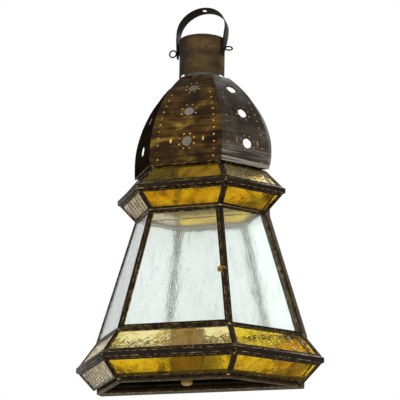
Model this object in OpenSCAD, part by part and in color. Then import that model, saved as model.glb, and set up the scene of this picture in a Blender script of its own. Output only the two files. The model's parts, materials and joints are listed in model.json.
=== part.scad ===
// Wall lantern for a candle: half-hexagon body of glass panes set in brass cames,
// flat metal back with mirrors on a shallow frame, three-panel punched dome,
// half-round neck and a swinging strap handle.  Millimetres.  The wall side faces +Y, up is +Z and the
// origin is the centre of the bounding box at the bottom.

/* [Outline] */
// Half width of the back at the bottom rim
rim_r = 125; // [118:0.5:132]
// Half width of the back at the lower ridge
low_ridge_r = 153.5; // [148:0.5:160]
// Half width of the back at the foot of the clear panes
body_base_r = 128.3; // [124:0.1:132]
// Half width of the back at the head of the clear panes
body_top_r = 82.6; // [78:0.1:88]
// Half width of the back at the upper ridge
up_ridge_r = 106.7; // [102:0.1:112]
// Half width of the back at the foot of the dome
dome_base_r = 81.1; // [79:0.1:84]
// Half width of the front face as a share of the back's half width
front_ratio = 0.525; // [0.5:0.005:0.55]
// Depth of the body as a share of the back's half width
depth_ratio = 0.635; // [0.6:0.005:0.7]

/* [Heights] */
// Height of the lower ridge
low_ridge_z = 29.5; // [27:0.5:33]
// Height of the foot of the clear panes
body_base_z = 60.6; // [58:0.1:66]
// Height of the head of the clear panes
body_top_z = 206.2; // [190:0.1:215]
// Height of the upper ridge
up_ridge_z = 231.6; // [228:0.1:238]
// Height of the foot of the dome
dome_base_z = 258.2; // [254:0.1:262]
// Height of the foot of the neck
neck_base_z = 379.5; // [375:0.5:382]
// Height of the open top of the neck
neck_top_z = 427.5; // [420:0.5:440]

/* [Cames and glass] */
// Depth of a came, across the pane
came_depth = 3; // [2.6:0.1:3.6]
// Face width of the cames of the amber panes
band_face = 2.2; // [2:0.1:3]
// Face width of the cames of the clear side panes
side_face = 2.2; // [2:0.1:3.2]
// Face width of the fixed frame round the door
surround_face = 1.4; // [1.3:0.1:2]
// Face width of the door's own frame
door_face = 2.6; // [2.4:0.1:3.4]
// Thickness of the glass
glass_t = 1.6; // [1.2:0.1:1.8]
// Height of the flat strip along each ridge
ridge_strip_h = 5.6; // [4.6:0.2:6]
// Face width of the cames along the back
wall_face = 3.5; // [3.4:0.1:4.5]

/* [Door and latch] */
// Gap at the sides and top of the door
door_gap = 0.4; // [0.3:0.05:0.6]
// Gap under the door
door_foot_gap = 1; // [0.9:0.1:1.4]
// Radius of the hinge pins
hinge_pin_r = 0.8; // [0.7:0.05:0.9]
// Outer radius of the hinge knuckles
knuckle_r = 1.6; // [1.5:0.05:1.8]
// Length of one hinge knuckle
knuckle_len = 5; // [4:0.5:6]
// Distance of the latch up the door's free edge
latch_w = 69; // [60:1:80]
// Radius of the latch stud
stud_r = 0.6; // [0.5:0.05:0.7]

/* [Back] */
// Thickness of the back sheet
back_t = 1.2; // [1:0.1:1.5]
// Thickness of the mirrors
mirror_t = 3; // [2:0.5:3]
// Depth of the frame that stands the lantern off the wall
frame_depth = 14.4; // [10:0.2:18]
// Width of the frame's lip against the wall
frame_lip = 8; // [6:0.5:10]
// Half width of the rear strap at the dome
strap_half_w = 26.9; // [26:0.1:28]

/* [Base and candle cup] */
// Height of the bottom rim
rim_h = 4; // [3:0.5:5]
// Width of the bottom rim
rim_w = 4; // [3.5:0.5:8]
// Underside of the floor plate
floor_z = 9; // [8.5:0.5:12]
// Thickness of the floor plate
floor_t = 1.2; // [1:0.1:2]
// Outer radius of the candle cup
cup_r = 20; // [18:0.5:24]
// Height of the candle cup
cup_h = 55; // [40:1:58]
// Wall of the candle cup
cup_wall = 0.9; // [0.8:0.1:1.5]
// Distance of the cup from the wall plane
cup_y = 34; // [32:1:38]

/* [Dome, neck and handle] */
// Thickness of the dome sheets
dome_t = 1.2; // [1:0.1:1.6]
// Radius of the round holes in the dome
dome_hole_r = 6; // [5:0.25:6.5]
// Outer radius of the neck
neck_r = 28.2; // [27.5:0.1:28.6]
// Wall of the neck
neck_wall = 1; // [0.8:0.1:1.3]
// Height of the handle pivots
pivot_z = 412.6; // [411:0.2:414]
// Distance of the handle pivots from the wall plane
pivot_y = 7.6; // [7.2:0.2:9]
// Radius of the handle pins
handle_pin_r = 1.6; // [1.5:0.1:1.8]
// Outer radius of the handle's bow
bow_r = 31.3; // [31.2:0.1:32]
// Height of the bow's top above the pivots
bow_h = 58; // [55:0.5:62]
// Angle at which the handle leans back at rest
bow_lean = 12; // [0:1:13]
// Width of the handle strap
strap_w = 13.6; // [12:0.2:14]
// Thickness of the handle strap
strap_t = 1; // [0.8:0.1:1.2]
// Radius of the hanging hole in the handle
hang_r = 2.75; // [2:0.25:3]

/* [Hidden] */
$fn = 96;
eps = 0.01;
far = 400;
touch = 0.06;

// outline levels from the bottom rim to the foot of the dome
lev_z = [0, low_ridge_z, body_base_z, body_top_z, up_ridge_z, dome_base_z];
lev_r = [rim_r, low_ridge_r, body_base_r, body_top_r, up_ridge_r, dome_base_r];
ridge_in = 0.8;
wall_y = (depth_ratio * (low_ridge_r - ridge_in) - frame_depth) / 2;

// plan directions of the three glazed sides: -1 left, 0 front, 1 right
side_len = sqrt(pow(1 - front_ratio, 2) + pow(depth_ratio, 2));
side_turn = atan2(1 - front_ratio, depth_ratio);
side_v = depth_ratio / side_len;
near_u = front_ratio * (1 - front_ratio) / side_len - depth_ratio * depth_ratio / side_len;
far_u = (1 - front_ratio) / side_len;
function phi(s) = s == 0 ? -90 : (s == 1 ? -side_turn : 180 + side_turn);
function vm(s) = s == 0 ? depth_ratio : side_v;
function u_lo(s) = s == 0 ? -front_ratio : (s == 1 ? near_u : -far_u);
function u_hi(s) = s == 0 ? front_ratio : (s == 1 ? far_u : -near_u);

// slope length and lean of the pane between level k and level k + 1
function rise(k) = lev_z[k + 1] - lev_z[k];
function run(s, k) = vm(s) * (lev_r[k + 1] - lev_r[k]);
function slope(s, k) = sqrt(pow(rise(k), 2) + pow(run(s, k), 2));
function lean(s, k) = atan2(run(s, k), rise(k));

// trapezoid of a pane, inset from bottom, top, low-u and high-u edges
function lo_at(s, k, w, e) = let (l = slope(s, k), a = u_lo(s) * lev_r[k],
  b = u_lo(s) * lev_r[k + 1]) a + (b - a) * w / l + e * sqrt(l * l + pow(b - a, 2)) / l;
function hi_at(s, k, w, e) = let (l = slope(s, k), a = u_hi(s) * lev_r[k],
  b = u_hi(s) * lev_r[k + 1]) a + (b - a) * w / l - e * sqrt(l * l + pow(b - a, 2)) / l;
function trap(s, k, eb, et, el, er) = let (top = slope(s, k) - et)
  [[lo_at(s, k, eb, el), eb], [hi_at(s, k, eb, er), eb],
   [hi_at(s, k, top, er), top], [lo_at(s, k, top, el), top]];

// edge insets of the panes
corner_in = came_depth * 0.5 + 0.1;
ridge_gap = ridge_strip_h / 2 + 0.1 + came_depth * 0.62;
seam = 0.3;
function end_b(s, k) = (k == 0 ? rim_h + 0.1 : (k == 1 || k == 4 ? ridge_gap : seam)) / cos(lean(s, k));
function end_t(s, k) = (k == 0 || k == 3 ? ridge_gap : seam) / cos(lean(s, k));
function edge_l(s, e, w) = s == -1 ? w : corner_in + e;
function edge_r(s, e, w) = s == 1 ? w : corner_in + e;
groove_t = glass_t + 0.1;
groove_d = 1.4;
wall_groove = wall_face - 1;
glass_in = 0.2;

module wall() {
  translate([0, wall_y, 0]) children();
}

module on_side(s) {
  rotate([0, 0, phi(s)]) children();
}

// frame of a pane: X outwards, Y along the side, Z up the slope
module on_pane(s, k) {
  on_side(s) translate([vm(s) * lev_r[k], 0, lev_z[k]]) rotate([0, lean(s, k), 0]) children();
}

module slab(depth, t, pts) {
  translate([-depth - t, 0, 0]) rotate([90, 0, 90]) linear_extrude(t) polygon(pts);
}

// wedge of plan that belongs to one side
module wedge(s, gap) {
  dir_a = s == -1 ? [-1, 0] : [front_ratio * (s == 0 ? -1 : 1), -depth_ratio];
  dir_b = s == 1 ? [1, 0] : [front_ratio * (s == 0 ? 1 : -1), -depth_ratio];
  on_side(s) translate([gap, 0, 0]) rotate([0, 0, -phi(s)])
    linear_extrude(600) polygon([[0, 0], far * dir_a, far * dir_b]);
}

// mitred horizontal moulding along one side; section points are [distance out, height]
module sweep(s, pts, gap = 0.05) {
  intersection() {
    on_side(s) rotate([90, 0, 0]) linear_extrude(far, center = true) polygon(pts);
    wedge(s, gap);
  }
}

module front_of(y) {
  translate([-far, -far, -10]) cube([2 * far, far - y, 600]);
}

// ---- cames and glass ----
module came(s, k, face) {
  eb = end_b(s, k);
  et = end_t(s, k);
  q = face - groove_d;
  color([0.24, 0.19, 0.1]) wall() intersection() {
    on_pane(s, k) difference() {
      slab(0, came_depth, trap(s, k, eb, et, edge_l(s, 0, -6), edge_r(s, 0, -6)));
      slab(-1, came_depth + 2, trap(s, k, eb + face, et + face,
        edge_l(s, face, wall_face), edge_r(s, face, wall_face)));
      slab((came_depth - groove_t) / 2, groove_t, trap(s, k, eb + q, et + q,
        edge_l(s, q, wall_groove), edge_r(s, q, wall_groove)));
    }
    front_of(0.02);
  }
}

module glass(s, k, face, tint) {
  q = face - groove_d + glass_in;
  color(tint) wall() on_pane(s, k) slab((came_depth - glass_t) / 2, glass_t,
    trap(s, k, end_b(s, k) + q, end_t(s, k) + q,
      edge_l(s, q, wall_groove + glass_in), edge_r(s, q, wall_groove + glass_in)));
}

amber = [0.85, 0.62, 0.1, 0.6];
clear = [0.88, 0.95, 0.91, 0.35];

module came_skirt_left() { came(-1, 0, band_face); }
module came_skirt_front() { came(0, 0, band_face); }
module came_skirt_right() { came(1, 0, band_face); }
module glass_skirt_left() { glass(-1, 0, band_face, amber); }
module glass_skirt_front() { glass(0, 0, band_face, amber); }
module glass_skirt_right() { glass(1, 0, band_face, amber); }
module came_shoulder_left() { came(-1, 1, band_face); }
module came_shoulder_front() { came(0, 1, band_face); }
module came_shoulder_right() { came(1, 1, band_face); }
module glass_shoulder_left() { glass(-1, 1, band_face, amber); }
module glass_shoulder_front() { glass(0, 1, band_face, amber); }
module glass_shoulder_right() { glass(1, 1, band_face, amber); }
module came_eave_left() { came(-1, 3, band_face); }
module came_eave_front() { came(0, 3, band_face); }
module came_eave_right() { came(1, 3, band_face); }
module glass_eave_left() { glass(-1, 3, band_face, amber); }
module glass_eave_front() { glass(0, 3, band_face, amber); }
module glass_eave_right() { glass(1, 3, band_face, amber); }
module came_roof_left() { came(-1, 4, band_face); }
module came_roof_front() { came(0, 4, band_face); }
module came_roof_right() { came(1, 4, band_face); }
module glass_roof_left() { glass(-1, 4, band_face, amber); }
module glass_roof_front() { glass(0, 4, band_face, amber); }
module glass_roof_right() { glass(1, 4, band_face, amber); }
module came_side_left() { came(-1, 2, side_face); }
module came_side_right() { came(1, 2, side_face); }
module glass_side_left() { glass(-1, 2, side_face, clear); }
module glass_side_right() { glass(1, 2, side_face, clear); }

// ---- ridge strips: one mitred bar per side, filling the groove between two courses ----
module ridge(level) {
  for (s = [-1, 0, 1]) {
    v = vm(s) * lev_r[level];
    z = lev_z[level];
    lo = lean(s, level - 1);
    hi = lean(s, level);
    g = ridge_gap - touch;
    in = came_depth - 0.4;
    lo_out = [v - g * tan(lo), z - g];
    hi_out = [v + g * tan(hi), z + g];
    lo_in = lo_out + in * [-cos(lo), sin(lo)];
    hi_in = hi_out + in * [-cos(hi), sin(hi)];
    h = ridge_strip_h / 2;
    out = v - vm(s) * ridge_in;
    color([0.2, 0.15, 0.08]) wall() intersection() {
      sweep(s, [[out, z - h], [out, z + h], hi_out, hi_in, lo_in, lo_out]);
      front_of(0.02);
    }
  }
}

module ridge_lower() { ridge(1); }
module ridge_upper() { ridge(4); }

// ---- round solder leads in the grooves between neighbouring sides ----
module rod(a, b, r) {
  d = b - a;
  l = norm(d);
  translate(a) rotate([0, acos(d[2] / l), atan2(d[1], d[0])]) cylinder(h = l, r = r);
}

module corner_lead(x_sign, k) {
  tilt = atan2((lev_r[k + 1] - lev_r[k]) * norm([front_ratio, depth_ratio]), rise(k));
  pull = 0.7 / cos(tilt) / norm([front_ratio, depth_ratio]);
  cut_b = (k == 0 ? rim_h + 1.2 : (k == 1 || k == 4 ? ridge_gap + 1 : 1.2)) / rise(k);
  cut_t = 1 - (k == 0 || k == 3 ? ridge_gap + 1 : 1.2) / rise(k);
  r_lo = lev_r[k] + (lev_r[k + 1] - lev_r[k]) * cut_b - pull;
  r_hi = lev_r[k] + (lev_r[k + 1] - lev_r[k]) * cut_t - pull;
  rod([x_sign * front_ratio * r_lo, -depth_ratio * r_lo, lev_z[k] + rise(k) * cut_b],
      [x_sign * front_ratio * r_hi, -depth_ratio * r_hi, lev_z[k] + rise(k) * cut_t], 1.1);
}

module corner_leads() {
  color([0.42, 0.33, 0.16]) wall() for (x_sign = [-1, 1]) {
    for (k = [0:4]) corner_lead(x_sign, k);
  }
}

// ---- door ----
surround_in = corner_in + surround_face;
door_in = surround_in + door_gap;
door_edge = door_in + door_face;
function door_b(e) = end_b(0, 2) + e;

module door_surround() {
  color([0.24, 0.19, 0.1]) wall() on_pane(0, 2) difference() {
    slab(0, came_depth, trap(0, 2, seam, seam, corner_in, corner_in));
    slab(-1, came_depth + 2, trap(0, 2, seam + surround_face, seam + surround_face,
      surround_in, surround_in));
  }
}

module door_frame() {
  e = seam + surround_face + door_gap;
  b = seam + surround_face + door_foot_gap;
  q = door_face - groove_d;
  color([0.5, 0.4, 0.2]) wall() on_pane(0, 2) difference() {
    slab(0, came_depth, trap(0, 2, b, e, door_in, door_in));
    slab(-1, came_depth + 2, trap(0, 2, b + door_face, e + door_face, door_edge, door_edge));
    slab((came_depth - groove_t) / 2, groove_t, trap(0, 2, b + q, e + q, door_in + q, door_in + q));
  }
}

module door_glass() {
  q = door_face - groove_d + glass_in;
  e = seam + surround_face + q;
  color(clear) wall() on_pane(0, 2) slab((came_depth - glass_t) / 2, glass_t,
    trap(0, 2, e + door_foot_gap, e + door_gap, door_in + q, door_in + q));
}

// frames along the slanted edges of the door opening: Y away from the corner, Z up the edge
edge_lean = atan2(front_ratio * (lev_r[2] - lev_r[3]), slope(0, 2));

module on_hinge_edge() {
  on_pane(0, 2) translate([0, -front_ratio * lev_r[2], 0]) rotate([-edge_lean, 0, 0]) children();
}

module on_latch_edge() {
  on_pane(0, 2) translate([0, front_ratio * lev_r[2], 0]) rotate([edge_lean, 0, 0]) children();
}

hinge_y = surround_in + door_gap / 2;
hinge_x = knuckle_r + 0.15;
hinge_w = [22, 118];
leaf_t = 0.6;

module knuckle(z, bore_r, leaf_from, leaf_to) {
  difference() {
    union() {
      translate([hinge_x, hinge_y, z]) cylinder(h = knuckle_len, r = knuckle_r);
      translate([0, leaf_from, z]) cube([leaf_t, leaf_to - leaf_from, knuckle_len]);
    }
    translate([hinge_x, hinge_y, z - 1]) cylinder(h = knuckle_len + 2, r = bore_r);
  }
}

module hinge_fixed() {
  color([0.45, 0.36, 0.17]) wall() on_hinge_edge() for (w = hinge_w) {
    knuckle(w, hinge_pin_r + 0.01, corner_in + 0.2, hinge_y);
    knuckle(w + 2 * knuckle_len + 0.6, hinge_pin_r + 0.01, corner_in + 0.2, hinge_y);
  }
}

module hinge_door() {
  color([0.5, 0.4, 0.2]) wall() on_hinge_edge() for (w = hinge_w)
    knuckle(w + knuckle_len + 0.3, hinge_pin_r + 0.06, hinge_y, door_edge - 0.2);
}

module hinge_pins() {
  color([0.7, 0.58, 0.3]) wall() on_hinge_edge() for (w = hinge_w) {
    translate([hinge_x, hinge_y, w - 0.4]) cylinder(h = 3 * knuckle_len + 1.4, r = hinge_pin_r);
  }
}

// ---- latch: a small hook on the door that drops over a stud on the fixed frame ----
stud_y = -(corner_in + surround_face / 2);
rivet_y = stud_y - 5;
hook_x = 0.75;
hook_t = 1;
slot_r = stud_r + 0.7;

module latch_plate() {
  color([0.6, 0.48, 0.24]) wall() on_latch_edge() difference() {
    translate([0, rivet_y - 2.2, latch_w - 3.2]) cube([0.6, -door_in - 0.2 - rivet_y + 2.2, 6.4]);
    translate([-1, rivet_y, latch_w]) rotate([0, 90, 0]) cylinder(h = 3, r = 0.81);
  }
}

module latch_rivet() {
  color([0.75, 0.62, 0.32]) wall() on_latch_edge() translate([0, rivet_y, latch_w])
    rotate([0, 90, 0]) {
      cylinder(h = 2, r = 0.8);
      translate([0, 0, hook_x + hook_t + 0.1]) cylinder(h = 0.7, r = 1.6);
    }
}

module latch_hook() {
  claw = slot_r + 1.1;
  color([0.62, 0.5, 0.25]) wall() on_latch_edge() translate([hook_x, 0, latch_w])
    rotate([90, 0, 90]) linear_extrude(hook_t) difference() {
      union() {
        translate([rivet_y, 0]) circle(r = 2);
        translate([rivet_y, -0.4]) square([stud_y - rivet_y, 2.4]);
        translate([stud_y, 0]) circle(r = claw);
      }
      translate([rivet_y, 0]) circle(r = 0.86);
      translate([stud_y, 0]) circle(r = slot_r);
      translate([stud_y - slot_r, -2 * claw]) square([2 * slot_r, 2 * claw]);
    }
}

module latch_stud() {
  color([0.75, 0.62, 0.32]) wall() on_latch_edge() translate([0, stud_y, latch_w])
    rotate([0, 90, 0]) cylinder(h = 2.4, r = stud_r);
}

// ---- back ----
function both_sides(rs, zs) = let (n = len(zs) - 1)
  concat([for (k = [0:n]) [rs[k], zs[k]]], [for (k = [n:-1:0]) [-rs[k], zs[k]]]);

module upright(y_front, t, pts) {
  translate([0, y_front + t, 0]) rotate([90, 0, 0]) linear_extrude(t) polygon(pts);
}

// the back sheet ends in a tab inside the foot of the dome
tab_r = 74;
tab_h = 17;

// the back sheet lies between the side panes, clear of the backs of their cames
module back_plate() {
  color([0.3, 0.26, 0.16]) wall() upright(-back_t, back_t,
    both_sides(concat([for (k = [0:5]) lev_r[k] - (k == 1 || k == 4 ? 9.5 : 6)], [tab_r]),
      concat(lev_z, [dome_base_z + tab_h])));
}

// frame of bent strip behind the back sheet: a flange on the sheet and a lip against the wall
frame_z = [lev_z[0], lev_z[2], lev_z[3], lev_z[5]];
frame_r = [lev_r[0], lev_r[2], lev_r[3], lev_r[5]];
function frame_ring(e) = both_sides([for (r = frame_r) r - e],
  [frame_z[0] + e, frame_z[1], frame_z[2], frame_z[3] - e]);

module back_frame() {
  color([0.34, 0.28, 0.16]) wall() difference() {
    upright(0.02, frame_depth - 0.02, frame_ring(0));
    upright(back_t + 0.02, frame_depth - 2 * back_t - 0.02, frame_ring(back_t));
    upright(-1, frame_depth + 2, frame_ring(back_t + frame_lip));
  }
}

mirror_y = back_t + 0.2 + mirror_t;

module mirror(rs, zs) {
  color([0.85, 0.88, 0.88]) wall() upright(-mirror_y, mirror_t, both_sides(rs, zs));
}

module mirror_lower() {
  z_lo = floor_z + floor_t + 1;
  r_lo = rim_r + (low_ridge_r - rim_r) * z_lo / low_ridge_z;
  mirror([r_lo - 9.5, low_ridge_r - 12.5, body_base_r - 9], [z_lo, low_ridge_z, body_base_z - 5]);
}

module mirror_body() {
  mirror([body_base_r - 8.5, body_top_r - 7], [body_base_z - 1, body_top_z - 1]);
}

module mirror_upper() {
  mirror([body_top_r - 8.5, up_ridge_r - 12.5, dome_base_r - 4],
    [body_top_z - 0.2, up_ridge_z, dome_base_z - 8]);
}

module mirror_clips() {
  tab = 4;
  web = 1.6;
  color([0.5, 0.42, 0.24]) wall() for (x = [-40, 40]) {
    for (z = [body_base_z - 3, dome_base_z - 6.2]) {
      translate([x - 4, -mirror_y - 0.8, z - web]) cube([8, mirror_y + 0.8 - back_t, 2 * web]);
      translate([x - 4, -mirror_y - 0.8, z - web - tab]) cube([8, 0.7, 2 * (web + tab)]);
    }
  }
}

module rear_strap() {
  color([0.42, 0.4, 0.36]) wall() upright(-back_t - 1.3, 1.2,
    [[-strap_half_w, dome_base_z - 6], [strap_half_w, dome_base_z - 6], [strap_half_w, 335],
     [22.5, neck_base_z - 6], [22.5, neck_top_z], [-22.5, neck_top_z], [-22.5, neck_base_z - 6],
     [-strap_half_w, 335]]);
}

// ---- base ----
module base_rim() {
  color([0.5, 0.42, 0.2]) wall() {
    for (s = [-1, 0, 1]) intersection() {
      sweep(s, [[vm(s) * rim_r - rim_w, 0], [vm(s) * rim_r, 0], [vm(s) * rim_r, rim_h],
        [vm(s) * rim_r - rim_w, rim_h]]);
      front_of(back_t + rim_w + 0.1);
    }
    intersection() {
      translate([-rim_r, -back_t - rim_w, 0]) cube([2 * rim_r, rim_w, rim_h]);
      linear_extrude(rim_h) polygon([[-rim_r + 0.3, 0], [-front_ratio * rim_r, -depth_ratio * rim_r],
        [front_ratio * rim_r, -depth_ratio * rim_r], [rim_r - 0.3, 0]]);
    }
  }
}

floor_r = rim_r + (low_ridge_r - rim_r) * floor_z / low_ridge_z - (came_depth + 1.2) / side_v / 0.75;

module base_plate() {
  edge = floor_r;
  color([0.1, 0.09, 0.08]) wall() difference() {
    intersection() {
      translate([0, 0, floor_z]) linear_extrude(floor_t) polygon([[-edge, 0],
        [-front_ratio * edge, -depth_ratio * edge], [front_ratio * edge, -depth_ratio * edge],
        [edge, 0]]);
      front_of(back_t + 0.1);
    }
    translate([0, -cup_y, floor_z - 1]) cylinder(h = floor_t + 2, r = 2.52);
  }
}

bolt_r = 2.5;
foot_t = 1.2;

module candle_cup() {
  color([0.3, 0.24, 0.12]) wall() translate([0, -cup_y, floor_z + floor_t + foot_t]) difference() {
    cylinder(h = cup_h - foot_t, r = cup_r);
    translate([0, 0, -1]) cylinder(h = cup_h, r = cup_r - cup_wall);
  }
}

module cup_foot() {
  color([0.6, 0.5, 0.26]) wall() translate([0, -cup_y, 0]) {
    translate([0, 0, 4]) cylinder(h = floor_z + floor_t + foot_t - 4, r = bolt_r);
    translate([0, 0, floor_z + floor_t]) cylinder(h = foot_t, r = cup_r);
  }
}

module cap_nut() {
  color([0.7, 0.56, 0.24]) wall() translate([0, -cup_y, 0]) difference() {
    union() {
      translate([0, 0, 3.2]) cylinder(h = floor_z - 3.2, r = 6.7);
      translate([0, 0, 1.2]) cylinder(h = 2.1, r1 = 4.2, r2 = 6.7);
    }
    translate([0, 0, 3.6]) cylinder(h = floor_z, r = bolt_r + 0.02);
  }
}

// ---- dome ----
dome_z0 = dome_base_z + 1.4;
seat_t = 1.2;
seat_in = 25;
dome_arc_r = 132.1;
dome_arc_z = dome_base_z + 14.8;
dome_arc_c = 85.6 - dome_arc_r;
dome_steps = 26;
// the side sheets carry on behind the half hexagon with a bowed free edge
tail_mid = dome_base_z + 50;
tail_out = 14;
tail_r = 107.3;
function dome_at(z, r) = sqrt(r * r - pow(z - dome_arc_z, 2)) + dome_arc_c;
hole_z = [dome_base_z + 27.5, dome_base_z + 66.3, dome_base_z + 99.2];

module dome_panel(s) {
  m = vm(s);
  top = neck_base_z - 2;
  zs = [for (i = [0:dome_steps]) dome_z0 + (top - dome_z0) * i / dome_steps];
  outer = [for (z = zs) [m * dome_at(z, dome_arc_r), z]];
  inner = [for (i = [dome_steps:-1:0]) [m * dome_at(zs[i], dome_arc_r) - dome_t, zs[i]]];
  color([0.38, 0.3, 0.14]) wall() difference() {
    union() {
      intersection() {
        on_side(s) rotate([90, 0, 0]) linear_extrude(far, center = true)
          polygon(concat(outer, inner));
        wedge(s, 0.06);
        front_of(0.02);
      }
      if (s != 0) dome_tail(s, [for (i = [0:21]) zs[i]]);
    }
    for (z = hole_z) {
      r = dome_at(z, dome_arc_r);
      tip = asin((z - dome_arc_z) / dome_arc_r);
      on_side(s) translate([m * r, s == 0 ? 1.2 : s * (s < 0 ? 0.2 : 0.235) * r, z])
        rotate([0, 90 - tip * 1.1, 0]) cylinder(h = 16, r = dome_hole_r, center = true);
    }
  }
}

module dome_tail(s, zs) {
  n = len(zs) - 1;
  outer = [for (z = zs) [s * dome_at(z, dome_arc_r), z]];
  inner = [for (i = [n:-1:0]) [s * (dome_at(zs[i], dome_arc_r) - dome_t), zs[i]]];
  intersection() {
    upright(-0.5, tail_out + 1, concat(outer, inner));
    translate([-far / 2, tail_out - tail_r, tail_mid]) rotate([0, 90, 0]) cylinder(h = far, r = tail_r);
  }
}

// flat seat between the roof cames and the foot of the dome, open in the middle
module dome_seat() {
  r = dome_at(dome_z0, dome_arc_r) + 0.4;
  color([0.34, 0.27, 0.13]) wall() intersection() {
    translate([0, 0, dome_z0 - 0.05 - seat_t]) linear_extrude(seat_t) difference() {
      polygon([[-r, 0], [-front_ratio * r, -depth_ratio * r], [front_ratio * r, -depth_ratio * r],
        [r, 0]]);
      polygon([[seat_in - r, 1], [(seat_in - r) * front_ratio, (seat_in - r) * depth_ratio],
        [(r - seat_in) * front_ratio, (seat_in - r) * depth_ratio], [r - seat_in, 1]]);
    }
    front_of(2.7);
  }
}

module dome_left() { dome_panel(-1); }
module dome_front() { dome_panel(0); }
module dome_right() { dome_panel(1); }

// ---- neck, handle and its pins ----
module neck_tube() {
  h = neck_top_z - neck_base_z;
  color([0.36, 0.28, 0.13]) wall() difference() {
    intersection() {
      union() {
        translate([0, 0, neck_base_z]) cylinder(h = h, r = neck_r);
        translate([0, 0, neck_top_z - 2]) cylinder(h = 2, r = neck_r + 0.5);
      }
      front_of(0.02);
    }
    translate([0, 0, neck_base_z - 1]) cylinder(h = h + 2, r = neck_r - neck_wall);
    translate([-40, -pivot_y, pivot_z]) rotate([0, 90, 0]) cylinder(h = 80, r = handle_pin_r + 0.01);
  }
}

bow_z = pivot_z + bow_h - bow_r;
leg_lean = 3;
arc_end = leg_lean + 3;
leg_extra = 0.15;
leg_in = bow_r * cos(leg_lean);
leg_z = bow_z - bow_r * sin(leg_lean);
leg_len = (leg_z - pivot_z + 9) / cos(leg_lean);

module handle() {
  color([0.2, 0.16, 0.1]) wall() translate([0, -pivot_y, pivot_z]) rotate([-bow_lean, 0, 0])
    translate([0, pivot_y, -pivot_z]) difference() {
    intersection() {
      translate([0, -pivot_y + strap_w / 2, 0]) rotate([90, 0, 0]) linear_extrude(strap_w) union() {
        translate([0, bow_z]) difference() {
          circle(r = bow_r);
          circle(r = bow_r - strap_t);
          polygon([[0, 0], [-90 * cos(arc_end), -90 * sin(arc_end)], [-90, -90], [90, -90],
            [90 * cos(arc_end), -90 * sin(arc_end)]]);
        }
        for (m = [-1, 1]) translate([m * leg_in, leg_z]) rotate(-m * leg_lean)
          translate([m < 0 ? -leg_extra : -strap_t - leg_extra, -leg_len])
            square([strap_t + 2 * leg_extra, leg_len + 0.5]);
      }
      translate([-60, -pivot_y, pivot_z]) rotate([90, 0, 90]) linear_extrude(120) union() {
        circle(r = 4);
        polygon([[-4, 0], [4, 0], [strap_w / 2, 14], [strap_w / 2, 90], [-strap_w / 2, 90],
          [-strap_w / 2, 14]]);
        translate([-2.5, -8]) square([5, 9]);
      }
    }
    translate([-60, -pivot_y, pivot_z]) rotate([0, 90, 0]) cylinder(h = 120, r = handle_pin_r + 0.08);
    translate([0, -pivot_y, bow_z]) cylinder(h = 60, r = hang_r);
  }
}

ring_r = 4.3;
ring_wire = 0.9;
pin_out = 31.5;

module handle_pin(x_sign, turn) {
  translate([0, -pivot_y, pivot_z]) {
    translate([x_sign * (neck_r - 5) - (x_sign < 0 ? pin_out - neck_r + 5 : 0), 0, 0])
      rotate([0, 90, 0]) cylinder(h = pin_out - neck_r + 5, r = handle_pin_r);
    translate([x_sign * (pin_out + ring_r), 0, 0]) rotate([90 + turn, 0, 0])
      rotate_extrude() translate([ring_r, 0]) circle(r = ring_wire);
  }
}

module handle_pins() {
  color([0.16, 0.13, 0.09]) wall() {
    handle_pin(-1, 0);
    handle_pin(1, 80);
  }
}

back_plate();
mirror_lower();
mirror_body();
mirror_upper();
mirror_clips();
back_frame();
rear_strap();
dome_seat();
base_rim();
base_plate();
candle_cup();
cup_foot();
cap_nut();
came_skirt_left();
came_skirt_front();
came_skirt_right();
glass_skirt_left();
glass_skirt_front();
glass_skirt_right();
came_shoulder_left();
came_shoulder_front();
came_shoulder_right();
glass_shoulder_left();
glass_shoulder_front();
glass_shoulder_right();
came_eave_left();
came_eave_front();
came_eave_right();
glass_eave_left();
glass_eave_front();
glass_eave_right();
came_roof_left();
came_roof_front();
came_roof_right();
glass_roof_left();
glass_roof_front();
glass_roof_right();
ridge_lower();
ridge_upper();
corner_leads();
came_side_left();
came_side_right();
glass_side_left();
glass_side_right();
door_surround();
door_frame();
door_glass();
hinge_fixed();
hinge_door();
hinge_pins();
latch_plate();
latch_rivet();
latch_hook();
latch_stud();
dome_left();
dome_front();
dome_right();
neck_tube();
handle();
handle_pins();
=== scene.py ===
import json
import math
import bmesh
import bpy
from mathutils import Matrix, Vector, noise

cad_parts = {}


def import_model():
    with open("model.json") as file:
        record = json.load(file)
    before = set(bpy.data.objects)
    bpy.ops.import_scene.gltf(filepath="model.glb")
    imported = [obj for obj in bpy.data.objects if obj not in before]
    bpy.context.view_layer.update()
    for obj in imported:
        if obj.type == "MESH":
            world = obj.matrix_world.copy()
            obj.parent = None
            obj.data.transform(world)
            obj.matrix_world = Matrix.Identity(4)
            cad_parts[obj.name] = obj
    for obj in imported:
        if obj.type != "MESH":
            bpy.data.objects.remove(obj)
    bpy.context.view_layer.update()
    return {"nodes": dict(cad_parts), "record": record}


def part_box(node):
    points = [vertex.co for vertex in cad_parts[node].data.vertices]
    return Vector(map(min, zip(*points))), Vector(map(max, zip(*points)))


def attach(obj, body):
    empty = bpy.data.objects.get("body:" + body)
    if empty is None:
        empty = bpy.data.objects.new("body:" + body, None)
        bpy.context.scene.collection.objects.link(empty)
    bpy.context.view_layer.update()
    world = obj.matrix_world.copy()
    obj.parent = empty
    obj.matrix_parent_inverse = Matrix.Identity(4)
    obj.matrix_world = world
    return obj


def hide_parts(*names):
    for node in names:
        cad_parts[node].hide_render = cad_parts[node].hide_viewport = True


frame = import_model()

MM = 0.001
scene = bpy.context.scene
nodes = frame["nodes"]
wall_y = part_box("back_plate")[1].y


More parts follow.
